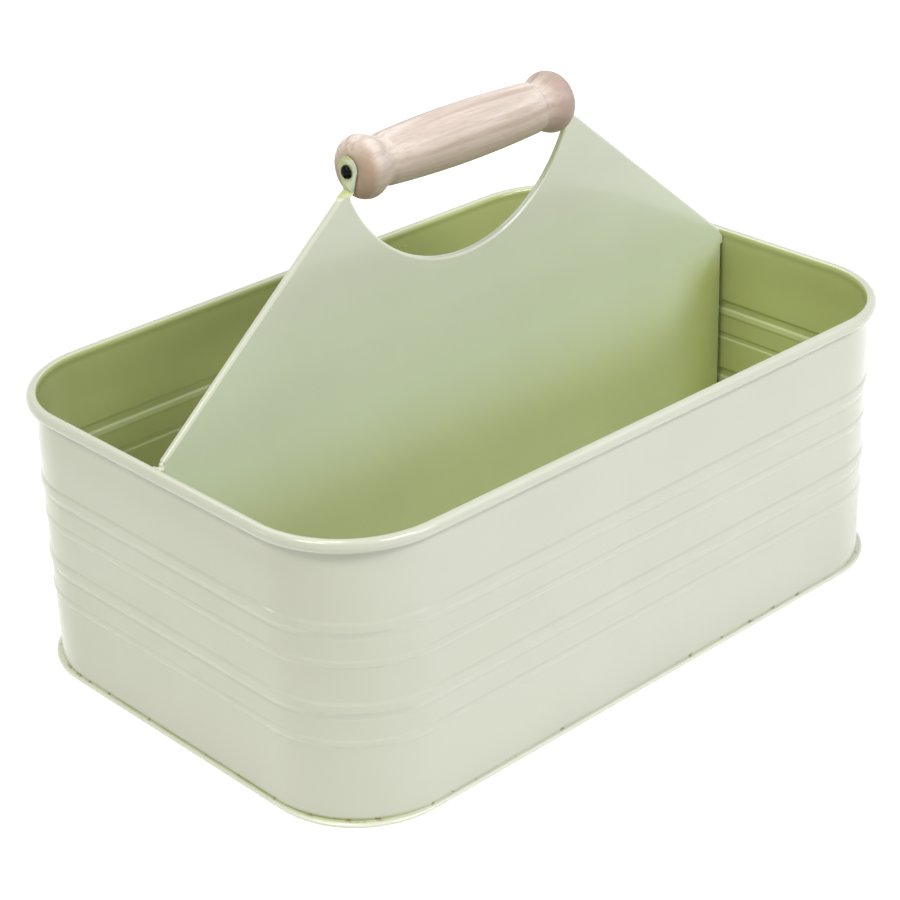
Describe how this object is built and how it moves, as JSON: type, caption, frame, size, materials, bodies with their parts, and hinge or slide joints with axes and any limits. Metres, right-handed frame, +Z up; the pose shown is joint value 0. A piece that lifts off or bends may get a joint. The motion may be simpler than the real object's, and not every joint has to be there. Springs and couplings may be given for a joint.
{
  "type": "carry caddy",
  "caption": "Rounded-rectangle painted sheet-steel tub with a rolled rim and pressed beads, split along its length by a divider that rises to hold a turned wooden grip for carrying.",
  "frame": {"origin": "middle of the underside, on the plane that the caddy stands on", "axes": "+X along the length, +Z up, and -Y the front side"},
  "size_m": [0.305, 0.202, 0.2061],
  "materials": {
    "painted_steel": "gloss stove enamel, pale sage green",
    "grip_wood": "turned, limed and unvarnished",
    "black_screw": "black japanned dome head"
  },
  "bodies": {
    "caddy": {"tub_wall": "painted_steel", "base_pan": "painted_steel", "divider_panel": "painted_steel", "weld_tack_near": "painted_steel", "weld_tack_far": "painted_steel"},
    "grip": {"handle_grip": "grip_wood", "screw_near": "black_screw", "screw_far": "black_screw"}
  },
  "joints": [
    {"name": "grip_spin", "type": "hinge", "parent": "caddy", "child": "grip", "pos_m": [0, 0, 0.1943], "axis": [1, 0, 0], "continuous": true}
  ]
}
